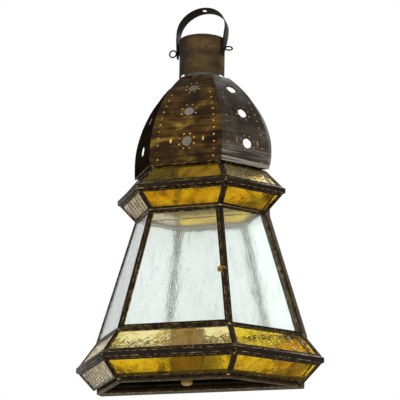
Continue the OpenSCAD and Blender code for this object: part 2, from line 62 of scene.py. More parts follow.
# ---------------------------------------------------------------- camera
def make_camera():
    """A long lens, low and to the right of the lantern, tilted up and rolled a little."""
    cam = bpy.data.cameras.new("camera")
    cam.sensor_width = 36.0
    cam.lens = 161.53
    cam.clip_end = 50.0
    obj = bpy.data.objects.new("camera", cam)
    right = Vector((0.94232, 0.33426, 0.01752))
    ahead = Vector((-0.32708, 0.90845, 0.26025))
    up = Vector((0.07107, -0.25097, 0.96538))
    place = Matrix((right, up, -ahead)).transposed().to_4x4()
    place.translation = Vector((0.6965, wall_y - 1.93506, -0.32614))
    obj.matrix_world = place
    scene.collection.objects.link(obj)
    scene.camera = obj


make_camera()
scene.view_settings.view_transform = "Standard"
scene.view_settings.look = "None"


# ---------------------------------------------------------------- shader helpers
def lin(r, g, b):
    """An 8-bit screen colour as linear RGBA."""
    def one(c):
        c /= 255.0
        return c / 12.92 if c <= 0.04045 else ((c + 0.055) / 1.055) ** 2.4
    return (one(r), one(g), one(b), 1.0)


class Tree:
    """A material's node tree, with short ways to add the nodes used here."""

    def __init__(self, name):
        self.mat = bpy.data.materials.new(name)
        self.mat.use_nodes = True
        self.nt = self.mat.node_tree
        self.nt.nodes.clear()
        self.out = self.add("ShaderNodeOutputMaterial")
        self.coord = self.add("ShaderNodeTexCoord")

    def add(self, kind, **props):
        node = self.nt.nodes.new(kind)
        for key, value in props.items():
            setattr(node, key, value)
        return node

    def link(self, a, b):
        self.nt.links.new(a, b)

    def mapped(self, scale, rotation=(0, 0, 0)):
        m = self.add("ShaderNodeMapping")
        m.inputs["Scale"].default_value = scale
        m.inputs["Rotation"].default_value = rotation
        self.link(self.coord.outputs["Object"], m.inputs["Vector"])
        return m.outputs["Vector"]

    def noise(self, vector, scale, detail=4.0, rough=0.55, distort=0.0):
        n = self.add("ShaderNodeTexNoise")
        n.inputs["Scale"].default_value = scale
        n.inputs["Detail"].default_value = detail
        n.inputs["Roughness"].default_value = rough
        n.inputs["Distortion"].default_value = distort
        self.link(vector, n.inputs["Vector"])
        return n.outputs["Fac"]

    def voronoi(self, vector, scale):
        v = self.add("ShaderNodeTexVoronoi")
        v.inputs["Scale"].default_value = scale
        self.link(vector, v.inputs["Vector"])
        return v.outputs["Distance"]

    def ramp(self, value, stops):
        r = self.add("ShaderNodeValToRGB")
        els = r.color_ramp.elements
        while len(els) < len(stops):
            els.new(0.5)
        for el, (pos, col) in zip(els, stops):
            el.position = pos
            el.color = col if isinstance(col, tuple) else (col, col, col, 1.0)
        self.link(value, r.inputs["Fac"])
        return r.outputs["Color"]

    def axis(self, name):
        """One coordinate of the piece's own space."""
        s = self.add("ShaderNodeSeparateXYZ")
        self.link(self.coord.outputs["Object"], s.inputs[0])
        return s.outputs[name]

    def rise(self, value, start, end, top=1.0):
        """0 at start, top at end, straight in between."""
        m = self.add("ShaderNodeMapRange")
        m.inputs["From Min"].default_value = start
        m.inputs["From Max"].default_value = end
        m.inputs["To Max"].default_value = top
        self.link(value, m.inputs["Value"])
        return m.outputs["Result"]

    def multiply_add(self, value, factor, addend):
        m = self.add("ShaderNodeMath", operation="MULTIPLY_ADD")
        self.link(value, m.inputs[0])
        m.inputs[1].default_value = factor
        if isinstance(addend, float):
            m.inputs[2].default_value = addend
        else:
            self.link(addend, m.inputs[2])
        return m.outputs[0]

    def mix(self, fac, a, b, blend="MIX"):
        m = self.add("ShaderNodeMix", data_type="RGBA", blend_type=blend)
        if isinstance(fac, float):
            m.inputs["Factor"].default_value = fac
        else:
            self.link(fac, m.inputs["Factor"])
        for value, socket in ((a, m.inputs[6]), (b, m.inputs[7])):
            if isinstance(value, tuple):
                socket.default_value = value
            else:
                self.link(value, socket)
        return m.outputs[2]

    def bump(self, height, strength, distance):
        b = self.add("ShaderNodeBump")
        b.inputs["Strength"].default_value = strength
        b.inputs["Distance"].default_value = distance
        self.link(height, b.inputs["Height"])
        return b.outputs["Normal"]

    def shader(self, **inputs):
        s = self.add("ShaderNodeBsdfPrincipled")
        for key, value in inputs.items():
            socket = s.inputs[key.replace("_", " ")]
            if isinstance(value, (int, float, tuple)):
                socket.default_value = value
            else:
                self.link(value, socket)
        return s

    def finish(self, shader):
        self.link(shader.outputs[0], self.out.inputs["Surface"])
        return self.mat


PLAIN = (1, 1, 1)
GRAIN = 0.0006


def metal(name, tones, streak=(6, 6, 260), metallic=0.9, rough=(0.32, 0.6), bump=0.25,
          stains=None, shine=0.5, shade=None):
    """Brushed, aged metal: streaks along one direction over larger blotches.

    shade gives two places along X and the tone that the first of them takes: painted shade, full at
    the first place and beyond it, gone at the second."""
    t = Tree(name)
    fine = t.noise(t.mapped(streak), 1.0, 6.0, 0.6)
    wide = t.noise(t.mapped((1, 1, 2.2)), 34.0, 5.0, 0.6, 0.4)
    both = t.mix(0.45, wide, fine)
    colour = t.ramp(both, tones)
    if stains:
        spots = t.noise(t.mapped(PLAIN), 120.0, 3.0, 0.7)
        colour = t.mix(t.ramp(spots, [(0.55, 0.0), (0.72, 1.0)]), colour, stains)
    # painted shade: one side of the piece darkens along X
    if shade:
        start, end, tone = shade
        colour = t.mix(t.rise(t.axis("X"), start, end), tone, colour)
    roughness = t.ramp(fine, [(0.3, rough[0]), (0.7, rough[1])])
    s = t.shader(Base_Color=colour, Metallic=metallic, Roughness=roughness,
                 Normal=t.bump(both, bump, GRAIN))
    s.inputs["Specular IOR Level"].default_value = shine
    return t.finish(s)


def sheet(name, tones, painted_top_shade, spotting, scratch=None, metallic=0.85, shine=0.5):
    """Brushed sheet that darkens with height under painted shade.

    painted_top_shade gives the heights where the painted shade starts and ends, the upper tone and its
    strength.
    scratch is the tone of the scratches over the last 20 mm below the start."""
    t = Tree(name)
    fine = t.noise(t.mapped((7, 7, 230)), 1.0, 6.0, 0.6)
    wide = t.noise(t.mapped((1, 1, 1.7)), 30.0, 6.0, 0.66, 0.5)
    both = t.mix(0.36, wide, fine)
    colour = t.ramp(both, tones)
    height = t.axis("Z")
    # painted shade: towards the top the sheet fades in patches to the upper tone
    lo, hi, upper, strength = painted_top_shade
    dark = t.rise(height, lo, hi, strength)
    patch = t.mix(1.0, t.ramp(wide, [(0.25, 1.0), (0.75, 0.45)]), dark, "MULTIPLY")
    colour = t.mix(patch, colour, upper)
    spots = t.noise(t.mapped(PLAIN), 95.0, 3.0, 0.7)
    colour = t.mix(t.ramp(spots, [(0.54, 0.0), (0.72, spotting)]), colour, lin(24, 13, 6))
    if scratch:
        lines = t.noise(t.mapped((14, 14, 620), (0.05, 0.1, 0.2)), 1.0, 2.0, 0.5)
        low = t.rise(height, lo, lo - 0.02)
        amount = t.mix(1.0, t.ramp(lines, [(0.44, 0.0), (0.62, 1.0)]), low, "MULTIPLY")
        colour = t.mix(amount, colour, scratch)
    roughness = t.ramp(fine, [(0.3, 0.36), (0.7, 0.6)])
    s = t.shader(Base_Color=colour, Metallic=metallic, Roughness=roughness,
                 Normal=t.bump(both, 0.3, GRAIN))
    s.inputs["Specular IOR Level"].default_value = shine
    return t.finish(s)


def rubbed_and_highlight(name, bright, dull, rough=0.28, bright_at=0.38):
    """Bright brass on edges and beads where the patina is rubbed through, with a painted highlight on
    edges and punched marks.
    """
    t = Tree(name)
    rub_and_highlight = t.noise(t.mapped(PLAIN), 210.0, 4.0, 0.7)
    colour = t.ramp(rub_and_highlight, [(bright_at, dull), (bright_at + 0.16, bright)])
    roughness = t.ramp(rub_and_highlight, [(0.3, rough + 0.25), (0.7, rough)])
    return t.finish(t.shader(Base_Color=colour, Metallic=0.95, Roughness=roughness,
                             Normal=t.bump(rub_and_highlight, 0.2, 0.0004)))


def glass(name, tones, relief, blotch, bump, depth, rough, detail, ior, clear_part=1.0, marks=None):
    """Clear or tinted glass that lets lamps through."""
    t = Tree(name)
    cloud = t.noise(t.mapped(PLAIN), blotch, detail, 0.55, 0.4)
    colour = t.ramp(cloud, tones)
    if marks:
        colour = t.mix(1.0, colour, marks(t), "MULTIPLY")
    s = t.shader(Base_Color=colour, Roughness=rough, IOR=ior, Transmission_Weight=clear_part,
                 Normal=t.bump(relief(t), bump, depth))
    clear = t.add("ShaderNodeBsdfTransparent")
    t.link(colour, clear.inputs["Color"])
    path = t.add("ShaderNodeLightPath")
    mixed = t.add("ShaderNodeMixShader")
    t.link(path.outputs["Is Shadow Ray"], mixed.inputs[0])
    t.link(s.outputs[0], mixed.inputs[1])
    t.link(clear.outputs[0], mixed.inputs[2])
    return t.finish(mixed)


def hammered(t):
    """Soft dents."""
    return t.noise(t.mapped((1, 1, 0.8), (0.3, 0.4, 0.2)), 120.0, 2.0, 0.5, 0.3)


def seedy(t):
    """Upright streaks and small bubbles."""
    streaks = t.noise(t.mapped((150, 150, 9)), 1.0, 4.0, 0.6)
    seeds = t.ramp(t.voronoi(t.mapped(PLAIN), 210.0), [(0.05, 1.0), (0.11, 0.0)])
    return t.mix(0.35, streaks, seeds, "ADD")


RIB_TURN = 600.0  # radians of the rib wave per metre along the pane
RIB_WOBBLE = 5.0


def ribbed(t):
    """Wavy ribs that run up the left panes, from 0 to 1."""
    across = t.add("ShaderNodeVectorMath", operation="DOT_PRODUCT")
    t.link(t.coord.outputs["Object"], across.inputs[0])
    across.inputs[1].default_value = (0.599 * RIB_TURN, -0.801 * RIB_TURN, 0)
    wobble = t.noise(t.mapped(PLAIN), 45.0, 3.0, 0.6)
    ribs = t.add("ShaderNodeMath", operation="SINE")
    t.link(t.multiply_add(wobble, RIB_WOBBLE, across.outputs["Value"]), ribs.inputs[0])
    return t.multiply_add(ribs.outputs[0], 0.5, 0.5)


def rib_marks(t):
    """Dark lines in the valleys of the ribs."""
    return t.ramp(ribbed(t), [(0.04, (0.10, 0.07, 0.04, 1)), (0.24, (1, 1, 1, 1))])


def seed_marks(t):
    """Faint grey streaks and dots."""
    lines = t.noise(t.mapped((170, 170, 8)), 1.0, 5.0, 0.65)
    seeds = t.voronoi(t.mapped((1, 1, 0.6)), 120.0)
    fine = t.ramp(lines, [(0.34, (0.88, 0.91, 0.90, 1)), (0.48, (1, 1, 1, 1))])
    dots = t.ramp(seeds, [(0.07, (0.62, 0.66, 0.64, 1)), (0.12, (1, 1, 1, 1))])
    return t.mix(1.0, fine, dots, "MULTIPLY")


MATS = {
    # painted shade darkens each brushed dome sheet towards its top
    "sheet_front": sheet("sheet_front", [(0.36, lin(22, 12, 5)), (0.48, lin(54, 35, 11)),
                                         (0.57, lin(92, 68, 20)), (0.70, lin(168, 140, 60))],
                         painted_top_shade=(0.330, 0.365, lin(26, 16, 8), 0.65), spotting=0.35),
    # painted reflection: the right sheet is painted grey for the sheen of the bright right side; the
    # pale scratches at its foot are wear
    "sheet_right_painted_reflection": sheet("sheet_right_painted_reflection", [(0.34, lin(30, 26, 21)), (0.5, lin(60, 54, 45)),
                                         (0.62, lin(86, 81, 72)), (0.78, lin(140, 137, 130))],
                         painted_top_shade=(0.285, 0.330, lin(30, 20, 11), 1.0), spotting=0.6,
                         scratch=lin(142, 138, 130), metallic=0.2, shine=0.1),
    # painted shade: the left sheet is painted near black and matte because it lies in shade
    "sheet_left_painted_shade": metal("sheet_left_painted_shade", [(0.3, lin(9, 7, 5)), (0.7, lin(30, 23, 14))], metallic=0.0,
                        rough=(0.75, 0.9), shine=0.0),
    # painted shade: the neck darkens to near black on its left side
    "neck": metal("neck", [(0.32, lin(30, 22, 12)), (0.5, lin(74, 58, 34)), (0.72, lin(122, 98, 58))],
                  streak=(14, 14, 60), stains=lin(56, 36, 18), shade=(-0.019, 0.0, lin(24, 9, 3)),
                  metallic=0.6, rough=(0.5, 0.75), shine=0.2),
    "rim": metal("rim", [(0.3, lin(30, 21, 10)), (0.55, lin(56, 42, 22)), (0.8, lin(104, 84, 46))],
                 streak=(90, 90, 90), metallic=0.3, rough=(0.5, 0.75), shine=0.15),
    "came": metal("came", [(0.3, lin(12, 7, 3)), (0.55, lin(30, 20, 10)), (0.75, lin(66, 47, 22))],
                  streak=(90, 90, 90), metallic=0.5, rough=(0.4, 0.65), bump=0.35, shine=0.2),
    # painted highlight on rounded edges, over brass rubbed through in places
    "edge": rubbed_and_highlight("edge", lin(196, 166, 98), lin(44, 31, 15), 0.34, 0.47),
    # painted highlight on the tops of the punched marks, over rubbed brass; the next line is a dimmer
    # copy for the right sheet
    "punch": rubbed_and_highlight("punch", lin(190, 154, 84), lin(92, 66, 28)),
    "punch_highlight_dim": rubbed_and_highlight("punch_highlight_dim", lin(150, 118, 70), lin(66, 52, 36), 0.4),
    "solder": rubbed_and_highlight("solder", lin(196, 176, 128), lin(110, 90, 54), 0.3),
    "brass": metal("brass", [(0.3, lin(110, 82, 34)), (0.6, lin(168, 136, 66)),
                             (0.8, lin(206, 178, 104))], streak=(90, 90, 90)),
    "strap": metal("strap", [(0.3, lin(12, 9, 6)), (0.55, lin(26, 20, 13)), (0.8, lin(60, 50, 34))],
                   streak=(60, 300, 60), metallic=0.1, rough=(0.55, 0.8), shine=0.08),
    "floor_black": metal("floor_black", [(0.3, lin(4, 3, 2)), (0.7, lin(14, 11, 9))], metallic=0.0,
                         rough=(0.8, 0.95), shine=0.0),
    "back_side": metal("back_side", [(0.3, lin(40, 32, 20)), (0.55, lin(66, 56, 38)),
                                     (0.8, lin(98, 86, 62))],
                       streak=(8, 8, 40), metallic=0.1, rough=(0.6, 0.8), shine=0.1),
    "back": metal("back", [(0.3, lin(26, 20, 12)), (0.55, lin(48, 39, 25)), (0.8, lin(84, 73, 50))],
                  streak=(8, 8, 200), metallic=0.2, rough=(0.5, 0.75), shine=0.1),
    "strap_grey": metal("strap_grey", [(0.3, lin(196, 192, 184)), (0.7, lin(216, 213, 206))],
                        metallic=0.1),  # bare tin: the rear strap and the inside of the dome
    "cup": metal("cup", [(0.3, lin(70, 50, 16)), (0.7, lin(150, 118, 54))], metallic=0.15,
                 rough=(0.6, 0.8), bump=0.1),
    "amber": glass("amber", [(0.34, (0.40, 0.25, 0.004, 1)), (0.46, (0.80, 0.54, 0.012, 1)),
                             (0.68, (0.96, 0.76, 0.05, 1))], hammered, blotch=46.0,
                   bump=1.0, depth=0.003, rough=0.05, detail=8.0, ior=1.17, clear_part=0.96),
    "amber_pale": glass("amber_pale", [(0.32, (0.66, 0.48, 0.10, 1)), (0.43, (0.96, 0.80, 0.36, 1)),
                                       (0.68, (0.99, 0.88, 0.46, 1))], hammered, blotch=40.0,
                        bump=1.0, depth=0.0026, rough=0.05, detail=6.0, ior=1.2, clear_part=0.95),
    "amber_ribbed": glass("amber_ribbed", [(0.35, (1.0, 0.85, 0.60, 1)), (0.65, (1.0, 0.93, 0.74, 1))],
                          ribbed, blotch=60.0, bump=0.8, depth=0.0012, rough=0.12, detail=3.0,
                          ior=1.2, clear_part=0.9, marks=rib_marks),
    "seedy": glass("seedy", [(0.3, (0.935, 0.99, 0.965, 1)), (0.7, (0.98, 1.0, 0.99, 1))],
                   seedy, blotch=25.0, bump=0.8, depth=0.0008, rough=0.02, detail=3.0,
                   ior=1.28, marks=seed_marks),
}


def mirror_material():
    """Old silvering, a little duller in patches."""
    t = Tree("mirror")
    age = t.noise(t.mapped(PLAIN), 60.0, 4.0, 0.7)
    colour = t.ramp(age, [(0.25, (0.90, 0.93, 0.92, 1)), (0.45, (0.97, 0.98, 0.975, 1))])
    rough = t.ramp(age, [(0.25, 0.22), (0.5, 0.10)])
    return t.finish(t.shader(Base_Color=colour, Metallic=0.74, Roughness=rough))


MATS["mirror"] = mirror_material()


# ---------------------------------------------------------------- piece helpers
def body_of_node(name):
    for body, members in frame["record"]["behaviour"]["bodies"].items():
        if name in members:
            return body
    return "lantern"


def slot_of_node(name):
    for row in frame["record"]["subparts"]:
        if row["node"] == name:
            return row["material_slot"]
    return None


def place(name, mesh, mats, body, slot, replaced=()):
    """Adds a piece with its materials and body, and hides the CAD nodes that it replaces. slot is not
    used.
    """
    obj = bpy.data.objects.new(name, mesh)
    for m in mats:
        mesh.materials.append(MATS[m])
    scene.collection.objects.link(obj)
    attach(obj, body)
    if replaced:
        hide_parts(*replaced)
    return obj


def apply_modifiers(obj):
    deps = bpy.context.evaluated_depsgraph_get()
    baked = bpy.data.meshes.new_from_object(obj.evaluated_get(deps))
    old = obj.data
    obj.modifiers.clear()
    obj.data = baked
    bpy.data.meshes.remove(old)


def smooth(mesh, angle=35.0):
    for poly in mesh.polygons:
        poly.use_smooth = True
    mesh.set_sharp_from_angle(angle=math.radians(angle))


def clean_copy(node):
    """The CAD node's shape as a fresh mesh with whole faces and shared corners."""
    bm = bmesh.new()
    bm.from_mesh(nodes[node].data)
    bmesh.ops.remove_doubles(bm, verts=bm.verts, dist=2e-6)
    bmesh.ops.dissolve_limit(bm, angle_limit=math.radians(0.6), verts=bm.verts, edges=bm.edges)
    mesh = bpy.data.meshes.new(node + "_shape")
    bm.to_mesh(mesh)
    bm.free()
    return mesh


def bevelled(node, mat, edge="edge", width=0.25, angle=30.0, segments=2):
    """A CAD node rebuilt with rounded edges in the edge material, by default a painted highlight over
    rubbed brass.
    """
    obj = place(node + "_worn", clean_copy(node), [mat, edge], body_of_node(node),
                slot_of_node(node), [node])
    if obj.data.polygons:
        bev = obj.modifiers.new("bevel", "BEVEL")
        bev.width = width * MM
        bev.segments = segments
        bev.limit_method = "ANGLE"
        bev.angle_limit = math.radians(angle)
        bev.material = 1
        bev.use_clamp_overlap = True
        apply_modifiers(obj)
    smooth(obj.data)


# ---------------------------------------------------------------- glass panes
def pane_corners(node):
    """Outer corners (low-left, low-right, top-right, top-left), outward normal and thickness."""
    pts = []
    for v in nodes[node].data.vertices:
        if all((v.co - p).length > 1e-5 for p in pts):
            pts.append(v.co.copy())
    mid = sum(pts, Vector()) / len(pts)
    n = max(nodes[node].data.polygons, key=lambda poly: poly.area).normal.copy()
    if n.dot(mid - Vector((0, wall_y, mid.z))) < 0:
        n.negate()
    reach = sorted(pts, key=lambda p: -n.dot(p))
    outer = reach[:4]
    thick = n.dot(outer[0]) - n.dot(reach[-1])
    side = Vector((-n.y, n.x, 0)).normalized()
    low = sorted(outer, key=lambda p: p.z)[:2]
    top = sorted(outer, key=lambda p: p.z)[2:]
    low.sort(key=lambda p: side.dot(p))
    top.sort(key=lambda p: side.dot(p))
    return low[0], low[1], top[1], top[0], n, thick


def sheet_pane(node, mat, pitch, relief):
    """A glass pane with an uneven surface on both faces."""
    a, b, c, d, n, thick = pane_corners(node)
    nu = max(4, int((b - a).length / (pitch * MM)))
    nv = max(4, int((d - a).length / (pitch * MM)))
    verts, faces = [], []
    level = (b - a).normalized()
    for layer in (0, 1):
        for j in range(nv + 1):
            for i in range(nu + 1):
                u, v = i / nu, j / nv
                p = (a * (1 - u) + b * u) * (1 - v) + (d * (1 - u) + c * u) * v
                dent = relief((p - a).dot(level) / MM, (p - a).length / MM, p / MM, layer)
                off = dent * MM if layer == 0 else thick - dent * MM
                verts.append(p - n * off)
    row = nu + 1
    back = row * (nv + 1)
    for j in range(nv):
        for i in range(nu):
            q = j * row + i
            faces.append((q, q + 1, q + row + 1, q + row))
            q += back
            faces.append((q, q + row, q + row + 1, q + 1))
    rim = [j * row for j in range(nv, 0, -1)] + list(range(0, row - 1))
    rim += [j * row + nu for j in range(0, nv)] + [nv * row + i for i in range(nu, 0, -1)]
    for k, q in enumerate(rim):
        r = rim[(k + 1) % len(rim)]
        faces.append((r, q, q + back, r + back))
    mesh = bpy.data.meshes.new(node + "_sheet")
    mesh.from_pydata(verts, [], faces)
    mesh.validate()
    smooth(mesh, 50.0)
    place(node + "_sheet", mesh, [mat], body_of_node(node), slot_of_node(node), [node])


# Each relief gives the depth below the pane's CAD face in millimetres, from the distance along
# the foot, the distance from the corner, the point in millimetres and the face, 0 outer, 1 inner.
def hammer_relief(along, up, p, layer):
    q = p / 9.0 + Vector((3.1 * layer, 1.7 * layer, 0))
    soft = noise.noise(q) + 0.4 * noise.noise(q * 2.3)
    return 0.18 + (0.07 if layer else 0.20) * soft


def rib_relief(along, up, p, layer):
    wob = noise.noise(Vector((up * 0.08, along * 0.05, 2.0))) * 1.6
    return 0.12 + 0.09 * math.sin((along + wob) * 2.1) + 0.05 * noise.noise(p * 0.3)


def seed_relief(along, up, p, layer):
    q = Vector((p.x * 0.10, p.y * 0.10, p.z * 0.03 + 9 * layer))
    return 0.17 + 0.15 * noise.noise(q) + 0.03 * noise.noise(p * 0.09)


for node in list(nodes):
    if not node.startswith("glass_") and node != "door_glass":
        continue
    if node in ("glass_side_left", "glass_side_right", "door_glass"):
        sheet_pane(node, "seedy", 2.6, seed_relief)
    elif node in ("glass_skirt_left", "glass_eave_left"):
        sheet_pane(node, "amber_ribbed", 0.9, rib_relief)
    elif node in ("glass_shoulder_left", "glass_shoulder_front", "glass_roof_right"):
        sheet_pane(node, "amber_pale", 1.3, hammer_relief)
    else:
        sheet_pane(node, "amber", 1.3, hammer_relief)


# ---------------------------------------------------------------- cames, frames and fittings
for node in list(nodes):
    if node.startswith("came_") or node == "door_surround":
        bevelled(node, "came", width=0.2)
for node in ("door_frame", "ridge_lower", "ridge_upper"):
    bevelled(node, "came", width=0.3)
bevelled("corner_leads", "came", "solder", width=0.2)
bevelled("base_rim", "rim", width=0.3)
bevelled("base_plate", "floor_black", "came", width=0.2)
bevelled("mirror_clips", "brass", width=0.15)
bevelled("back_plate", "back", width=0.3)
bevelled("rear_strap", "strap_grey", width=0.25)
for node in ("mirror_lower", "mirror_body", "mirror_upper"):
    bevelled(node, "mirror", "mirror", width=0.5, segments=1)
bevelled("back_frame", "back_side", width=0.3)
bevelled("dome_seat", "came", width=0.3)
bevelled("candle_cup", "cup", width=0.25)
bevelled("cup_foot", "cup", "brass", width=0.3)
bevelled("cap_nut", "brass", width=0.4)
for node in ("hinge_fixed", "hinge_door"):
    bevelled(node, "rim", "rim", width=0.12)
for node in ("hinge_pins", "latch_plate", "latch_rivet", "latch_hook", "latch_stud"):
    bevelled(node, "brass", width=0.12)
bevelled("neck_tube", "neck", width=0.2)
for node in ("handle", "handle_pins"):
    bevelled(node, "strap", "strap", width=0.15)


# ---------------------------------------------------------------- punched dome sheets
DOME_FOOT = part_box("dome_front")[0].z
DOME_BASE = DOME_FOOT - 0.0014
ARC_R = 0.1321
ARC_Z = DOME_BASE + 0.0148
ARC_C = 0.0856 - ARC_R
TAIL_OUT, TAIL_R, TAIL_MID = 0.014, 0.1073, DOME_BASE + 0.050
FRONT_RATIO, DEPTH_RATIO = 0.525, 0.635
SIDE_LEN = math.hypot(1 - FRONT_RATIO, DEPTH_RATIO)
SIDE_TURN = math.atan2(1 - FRONT_RATIO, DEPTH_RATIO)
SIDE_V = DEPTH_RATIO / SIDE_LEN
NEAR_U = (FRONT_RATIO * (1 - FRONT_RATIO) - DEPTH_RATIO ** 2) / SIDE_LEN
FAR_U = (1 - FRONT_RATIO) / SIDE_LEN
HOLE_R = 6.0
MARK_REACH = 6
SHEET_T = 0.0009
SHEET_IN = 0.35


def dome_r(z):
    """Half width of the dome at a height."""
    return math.sqrt(ARC_R ** 2 - (z - ARC_Z) ** 2) + ARC_C


# In all that follows s is 0 for the front sheet, 1 for the right one and -1 for the left one.
def side_axes(s):
    """Directions out of a sheet and along its foot."""
    ang = -math.pi / 2 if s == 0 else (-SIDE_TURN if s == 1 else math.pi + SIDE_TURN)
    return Vector((math.cos(ang), math.sin(ang), 0)), Vector((-math.sin(ang), math.cos(ang), 0))


def side_span(s):
    """The two edges of a sheet, as shares of the dome's half width."""
    return ((-FRONT_RATIO, FRONT_RATIO), (NEAR_U, FAR_U), (-FAR_U, -NEAR_U))[s]


def arc_angle(z):
    return math.asin((z - ARC_Z) / ARC_R)


def arc_len(z):
    """Distance up the curved sheet from its foot, in millimetres."""
    return (arc_angle(z) - arc_angle(DOME_FOOT)) * ARC_R / MM


def dome_marks(s):
    """The round holes as (u, w) and the punch marks as (u, w, kind), in millimetres."""
    base = DOME_BASE
    lay = (0.0, 0.235, -0.2)[s]
    holes = [(lay * dome_r(z) / MM + (1.2 if s == 0 else 0.0), arc_len(z))
             for z in (base + 0.0275, base + 0.0663, base + 0.0992)]
    marks = []
    for k, (u, w) in enumerate(holes):
        for i in range(8):
            a = math.pi * (i + 0.5) / 4
            r = 9.6 if k < 2 else 8.8
            marks.append((u + r * math.cos(a), w + r * math.sin(a), "dot"))
    for turn in (-1, 1):
        marks.append((holes[0][0] + turn * (20 if s == 0 else 15), holes[0][1] + 2, "diamond"))
    if s == 0:
        marks.append((-1.5, arc_len(base + 0.1165), "ring"))
    lo_u, hi_u = side_span(s)
    z = base + 0.007
    while z < base + 0.098:
        inset = 10.5 - 2.5 * (z - base) / 0.1
        for edge, sign in ((lo_u, 1), (hi_u, -1)):
            marks.append((edge * dome_r(z) / MM + sign * inset, arc_len(z), "dot"))
        z += 0.0088 * math.cos(arc_angle(z))
    return holes, marks


def punch(du, dw, kind):
    """Height of one punched mark, in millimetres."""
    d2 = du * du + dw * dw
    if kind == "dot":
        if d2 > 9:
            return 0.0
        d = math.sqrt(d2)
        return 0.85 * math.exp(-(d / 0.95) ** 2) - 0.12 * math.exp(-((d - 1.9) / 0.5) ** 2)
    if kind == "diamond":
        r = abs(du) / 2.0 + abs(dw) / 5.6
        return 0.9 * max(0.0, 1 - r) if r < 1 else 0.0
    d = math.sqrt(d2)
    return 0.5 * math.exp(-((d - 2.2) / 0.6) ** 2)


def on_mark_top(du, dw, kind):
    """Whether a place is on the top of a mark, where the mark gets its painted highlight over rubbed
    brass.
    """
    if kind == "dot":
        return du * du + dw * dw < 1.15
    if kind == "diamond":
        return abs(du) / 1.5 + abs(dw) / 4.4 < 1
    return abs(math.hypot(du, dw) - 2.2) < 0.6


def on_hole_rims(u, w, holes, step):
    """Moves a grid point that is near the rim of a hole onto the rim."""
    for hu, hw in holes:
        d = math.hypot(u - hu, w - hw)
        if HOLE_R - 0.55 * step < d < HOLE_R + 0.55 * step:
            u = hu + (u - hu) * HOLE_R / d
            w = hw + (w - hw) * HOLE_R / d
    return u, w


def surface_at(u, w, s, holes, marks):
    """Height of a sheet's surface over its smooth curve, in millimetres."""
    h = 0.0
    for mu, mw, kind in marks:
        if abs(u - mu) < MARK_REACH and abs(w - mw) < MARK_REACH:
            h += punch(u - mu, w - mw, kind)
    for hu, hw in holes:
        d = math.hypot(u - hu, w - hw)
        if d < HOLE_R + 2.2:
            h -= 0.35 * math.exp(-((d - HOLE_R) / 0.9) ** 2)
    h += 0.5 * noise.noise(Vector((u * 0.05, w * 0.05, s * 5.0)))
    return h


def tail_depth(z):
    """How far a side sheet carries on behind the back plane."""
    return TAIL_OUT - TAIL_R + math.sqrt(TAIL_R ** 2 - (z - TAIL_MID) ** 2)


def add_tail(s, grid, verts, faces, edge, rows, n=7):
    """Carries a side sheet on behind the half hexagon, up to its bowed free edge."""
    least, closed = 0.0002, 0.0004
    last = [grid[edge, j] for j in range(rows + 1)]
    out = [tail_depth(verts[q].z) for q in last]
    for k in range(1, n + 1):
        line = []
        for q, d in zip(last, out):
            v = verts[q]
            line.append(len(verts))
            verts.append(Vector((v.x, max(v.y, wall_y + max(d, least) * k / n), v.z)))
        for j in range(rows):
            if out[j] > closed and out[j + 1] > closed:
                quad = (last[j], line[j], line[j + 1], last[j + 1])
                faces.append(quad if s == 1 else quad[::-1])
        last = line


